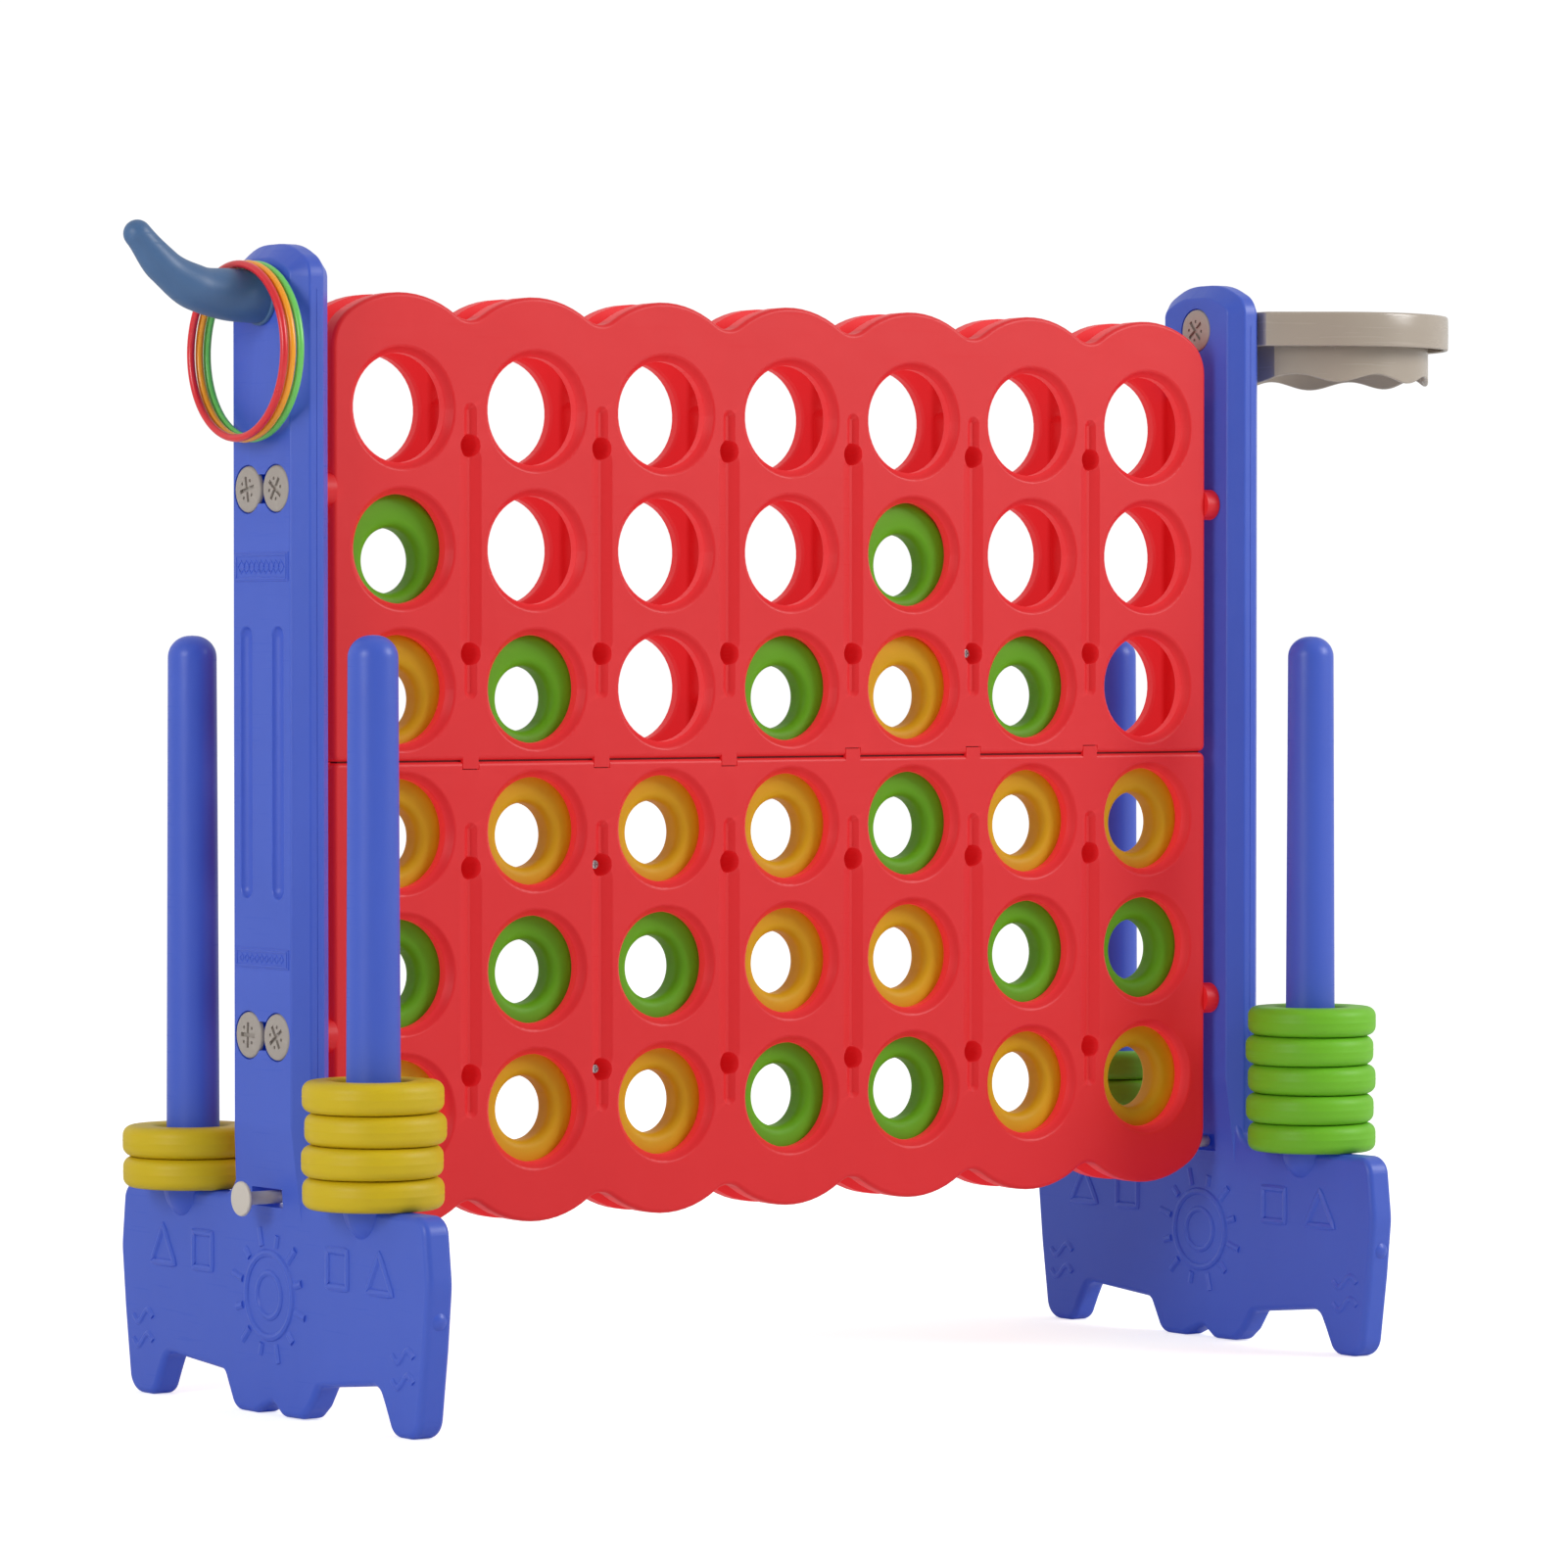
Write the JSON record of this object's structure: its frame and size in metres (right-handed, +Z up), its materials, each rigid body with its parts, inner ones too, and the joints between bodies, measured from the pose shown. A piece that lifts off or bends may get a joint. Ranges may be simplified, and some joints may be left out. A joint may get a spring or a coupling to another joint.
{
  "type": "giant four in a row",
  "caption": "Upright lawn game: a red slotted board full of yellow and green rings stands between blue side frames with storage pegs, a ring-toss horn and a basketball rim",
  "frame": {"origin": "centre of the bounding box in X and Y, on the ground in Z", "axes": "+X along the board from the horn end to the basketball end, +Y through the board away from the viewer, +Z up"},
  "size_m": [1.5314, 0.5134, 1.0645],
  "materials": {
    "board_red": "satin blow-moulded polyethylene",
    "frame_blue": "satin blow-moulded polyethylene",
    "ring_yellow": "satin blow-moulded polyethylene",
    "ring_green": "satin blow-moulded polyethylene",
    "bolt_beige": "fine-grained injection-moulded plastic",
    "bar_beige": "smooth injection-moulded plastic",
    "horn_blue": "satin moulded plastic",
    "rim_beige": "smooth injection-moulded plastic",
    "hoop_red": "smooth plastic",
    "hoop_orange": "smooth plastic",
    "hoop_green": "smooth plastic",
    "screw_steel": "plated steel"
  },
  "bodies": {
    "stand": {"panel_upper_front": "board_red", "panel_lower_front": "board_red", "panel_upper_rear": "board_red", "panel_lower_rear": "board_red", "panel_screws": "screw_steel", "frame_left": "frame_blue", "frame_right": "frame_blue", "big_bolts": "bolt_beige", "peg_left_front": "frame_blue", "peg_left_rear": "frame_blue", "peg_right_front": "frame_blue", "peg_right_rear": "frame_blue", "toss_horn": "horn_blue", "basket_rim": "rim_beige"},
    "ring_c1_1": {"ring_c1_1": "ring_yellow"},
    "ring_c1_2": {"ring_c1_2": "ring_green"},
    "ring_c1_3": {"ring_c1_3": "ring_yellow"},
    "ring_c1_4": {"ring_c1_4": "ring_yellow"},
    "ring_c1_5": {"ring_c1_5": "ring_green"},
    "ring_c2_1": {"ring_c2_1": "ring_yellow"},
    "ring_c2_2": {"ring_c2_2": "ring_green"},
    "ring_c2_3": {"ring_c2_3": "ring_yellow"},
    "ring_c2_4": {"ring_c2_4": "ring_green"},
    "ring_c3_1": {"ring_c3_1": "ring_yellow"},
    "ring_c3_2": {"ring_c3_2": "ring_green"},
    "ring_c3_3": {"ring_c3_3": "ring_yellow"},
    "ring_c4_1": {"ring_c4_1": "ring_green"},
    "ring_c4_2": {"ring_c4_2": "ring_yellow"},
    "ring_c4_3": {"ring_c4_3": "ring_yellow"},
    "ring_c4_4": {"ring_c4_4": "ring_green"},
    "ring_c5_1": {"ring_c5_1": "ring_green"},
    "ring_c5_2": {"ring_c5_2": "ring_yellow"},
    "ring_c5_3": {"ring_c5_3": "ring_green"},
    "ring_c5_4": {"ring_c5_4": "ring_yellow"},
    "ring_c5_5": {"ring_c5_5": "ring_green"},
    "ring_c6_1": {"ring_c6_1": "ring_yellow"},
    "ring_c6_2": {"ring_c6_2": "ring_green"},
    "ring_c6_3": {"ring_c6_3": "ring_yellow"},
    "ring_c6_4": {"ring_c6_4": "ring_green"},
    "ring_c7_1": {"ring_c7_1": "ring_yellow"},
    "ring_c7_2": {"ring_c7_2": "ring_green"},
    "ring_c7_3": {"ring_c7_3": "ring_yellow"},
    "ring_left_rear_1": {"ring_left_rear_1": "ring_yellow"},
    "ring_left_rear_2": {"ring_left_rear_2": "ring_yellow"},
    "ring_left_front_1": {"ring_left_front_1": "ring_yellow"},
    "ring_left_front_2": {"ring_left_front_2": "ring_yellow"},
    "ring_left_front_3": {"ring_left_front_3": "ring_yellow"},
    "ring_left_front_4": {"ring_left_front_4": "ring_yellow"},
    "ring_right_front_1": {"ring_right_front_1": "ring_green"},
    "ring_right_front_2": {"ring_right_front_2": "ring_green"},
    "ring_right_front_3": {"ring_right_front_3": "ring_green"},
    "ring_right_front_4": {"ring_right_front_4": "ring_green"},
    "ring_right_front_5": {"ring_right_front_5": "ring_green"},
    "ring_right_rear_1": {"ring_right_rear_1": "ring_green"},
    "ring_right_rear_2": {"ring_right_rear_2": "ring_green"},
    "ring_right_rear_3": {"ring_right_rear_3": "ring_green"},
    "release_bar": {"release_bar": "bar_beige"},
    "toss_hoop_green": {"toss_hoop_green": "hoop_green"},
    "toss_hoop_orange": {"toss_hoop_orange": "hoop_orange"},
    "toss_hoop_red": {"toss_hoop_red": "hoop_red"}
  },
  "joints": [
    {"name": "lift_c1_1", "type": "slide", "parent": "stand", "child": "ring_c1_1", "axis": [0, 0, 1], "range_m": [0, 0.811]},
    {"name": "lift_c1_2", "type": "slide", "parent": "ring_c1_1", "child": "ring_c1_2", "axis": [0, 0, 1], "range_m": [0, 0.685]},
    {"name": "lift_c1_3", "type": "slide", "parent": "ring_c1_2", "child": "ring_c1_3", "axis": [0, 0, 1], "range_m": [0, 0.56]},
    {"name": "lift_c1_4", "type": "slide", "parent": "ring_c1_3", "child": "ring_c1_4", "axis": [0, 0, 1], "range_m": [0, 0.434]},
    {"name": "lift_c1_5", "type": "slide", "parent": "ring_c1_4", "child": "ring_c1_5", "axis": [0, 0, 1], "range_m": [0, 0.309]},
    {"name": "lift_c2_1", "type": "slide", "parent": "stand", "child": "ring_c2_1", "axis": [0, 0, 1], "range_m": [0, 0.811]},
    {"name": "lift_c2_2", "type": "slide", "parent": "ring_c2_1", "child": "ring_c2_2", "axis": [0, 0, 1], "range_m": [0, 0.685]},
    {"name": "lift_c2_3", "type": "slide", "parent": "ring_c2_2", "child": "ring_c2_3", "axis": [0, 0, 1], "range_m": [0, 0.56]},
    {"name": "lift_c2_4", "type": "slide", "parent": "ring_c2_3", "child": "ring_c2_4", "axis": [0, 0, 1], "range_m": [0, 0.434]},
    {"name": "lift_c3_1", "type": "slide", "parent": "stand", "child": "ring_c3_1", "axis": [0, 0, 1], "range_m": [0, 0.811]},
    {"name": "lift_c3_2", "type": "slide", "parent": "ring_c3_1", "child": "ring_c3_2", "axis": [0, 0, 1], "range_m": [0, 0.685]},
    {"name": "lift_c3_3", "type": "slide", "parent": "ring_c3_2", "child": "ring_c3_3", "axis": [0, 0, 1], "range_m": [0, 0.56]},
    {"name": "lift_c4_1", "type": "slide", "parent": "stand", "child": "ring_c4_1", "axis": [0, 0, 1], "range_m": [0, 0.811]},
    {"name": "lift_c4_2", "type": "slide", "parent": "ring_c4_1", "child": "ring_c4_2", "axis": [0, 0, 1], "range_m": [0, 0.685]},
    {"name": "lift_c4_3", "type": "slide", "parent": "ring_c4_2", "child": "ring_c4_3", "axis": [0, 0, 1], "range_m": [0, 0.56]},
    {"name": "lift_c4_4", "type": "slide", "parent": "ring_c4_3", "child": "ring_c4_4", "axis": [0, 0, 1], "range_m": [0, 0.434]},
    {"name": "lift_c5_1", "type": "slide", "parent": "stand", "child": "ring_c5_1", "axis": [0, 0, 1], "range_m": [0, 0.811]},
    {"name": "lift_c5_2", "type": "slide", "parent": "ring_c5_1", "child": "ring_c5_2", "axis": [0, 0, 1], "range_m": [0, 0.685]},
    {"name": "lift_c5_3", "type": "slide", "parent": "ring_c5_2", "child": "ring_c5_3", "axis": [0, 0, 1], "range_m": [0, 0.56]},
    {"name": "lift_c5_4", "type": "slide", "parent": "ring_c5_3", "child": "ring_c5_4", "axis": [0, 0, 1], "range_m": [0, 0.434]},
    {"name": "lift_c5_5", "type": "slide", "parent": "ring_c5_4", "child": "ring_c5_5", "axis": [0, 0, 1], "range_m": [0, 0.309]},
    {"name": "lift_c6_1", "type": "slide", "parent": "stand", "child": "ring_c6_1", "axis": [0, 0, 1], "range_m": [0, 0.811]},
    {"name": "lift_c6_2", "type": "slide", "parent": "ring_c6_1", "child": "ring_c6_2", "axis": [0, 0, 1], "range_m": [0, 0.685]},
    {"name": "lift_c6_3", "type": "slide", "parent": "ring_c6_2", "child": "ring_c6_3", "axis": [0, 0, 1], "range_m": [0, 0.56]},
    {"name": "lift_c6_4", "type": "slide", "parent": "ring_c6_3", "child": "ring_c6_4", "axis": [0, 0, 1], "range_m": [0, 0.434]},
    {"name": "lift_c7_1", "type": "slide", "parent": "stand", "child": "ring_c7_1", "axis": [0, 0, 1], "range_m": [0, 0.811]},
    {"name": "lift_c7_2", "type": "slide", "parent": "ring_c7_1", "child": "ring_c7_2", "axis": [0, 0, 1], "range_m": [0, 0.685]},
    {"name": "lift_c7_3", "type": "slide", "parent": "ring_c7_2", "child": "ring_c7_3", "axis": [0, 0, 1], "range_m": [0, 0.56]},
    {"name": "lift_left_rear_1", "type": "slide", "parent": "stand", "child": "ring_left_rear_1", "axis": [0, 0, 1], "range_m": [0, 0.509]},
    {"name": "lift_left_rear_2", "type": "slide", "parent": "ring_left_rear_1", "child": "ring_left_rear_2", "axis": [0, 0, 1], "range_m": [0, 0.48]},
    {"name": "lift_left_front_1", "type": "slide", "parent": "stand", "child": "ring_left_front_1", "axis": [0, 0, 1], "range_m": [0, 0.509]},
    {"name": "lift_left_front_2", "type": "slide", "parent": "ring_left_front_1", "child": "ring_left_front_2", "axis": [0, 0, 1], "range_m": [0, 0.48]},
    {"name": "lift_left_front_3", "type": "slide", "parent": "ring_left_front_2", "child": "ring_left_front_3", "axis": [0, 0, 1], "range_m": [0, 0.452]},
    {"name": "lift_left_front_4", "type": "slide", "parent": "ring_left_front_3", "child": "ring_left_front_4", "axis": [0, 0, 1], "range_m": [0, 0.423]},
    {"name": "lift_right_front_1", "type": "slide", "parent": "stand", "child": "ring_right_front_1", "axis": [0, 0, 1], "range_m": [0, 0.509]},
    {"name": "lift_right_front_2", "type": "slide", "parent": "ring_right_front_1", "child": "ring_right_front_2", "axis": [0, 0, 1], "range_m": [0, 0.48]},
    {"name": "lift_right_front_3", "type": "slide", "parent": "ring_right_front_2", "child": "ring_right_front_3", "axis": [0, 0, 1], "range_m": [0, 0.452]},
    {"name": "lift_right_front_4", "type": "slide", "parent": "ring_right_front_3", "child": "ring_right_front_4", "axis": [0, 0, 1], "range_m": [0, 0.423]},
    {"name": "lift_right_front_5", "type": "slide", "parent": "ring_right_front_4", "child": "ring_right_front_5", "axis": [0, 0, 1], "range_m": [0, 0.395]},
    {"name": "lift_right_rear_1", "type": "slide", "parent": "stand", "child": "ring_right_rear_1", "axis": [0, 0, 1], "range_m": [0, 0.509]},
    {"name": "lift_right_rear_2", "type": "slide", "parent": "ring_right_rear_1", "child": "ring_right_rear_2", "axis": [0, 0, 1], "range_m": [0, 0.48]},
    {"name": "lift_right_rear_3", "type": "slide", "parent": "ring_right_rear_2", "child": "ring_right_rear_3", "axis": [0, 0, 1], "range_m": [0, 0.452]},
    {"name": "release_pull", "type": "slide", "parent": "stand", "child": "release_bar", "axis": [-1, 0, 0], "range_m": [0, 1.06]},
    {"name": "swing_green", "type": "hinge", "parent": "stand", "child": "toss_hoop_green", "pos_m": [-0.63375, 0, 1.0012], "axis": [1, 0, 0], "range_deg": [-35, 35]},
    {"name": "swing_orange", "type": "hinge", "parent": "stand", "child": "toss_hoop_orange", "pos_m": [-0.64225, 0, 1.0012], "axis": [1, 0, 0], "range_deg": [-35, 35]},
    {"name": "swing_red", "type": "hinge", "parent": "stand", "child": "toss_hoop_red", "pos_m": [-0.65075, 0, 1.0012], "axis": [1, 0, 0], "range_deg": [-35, 35]}
  ]
}
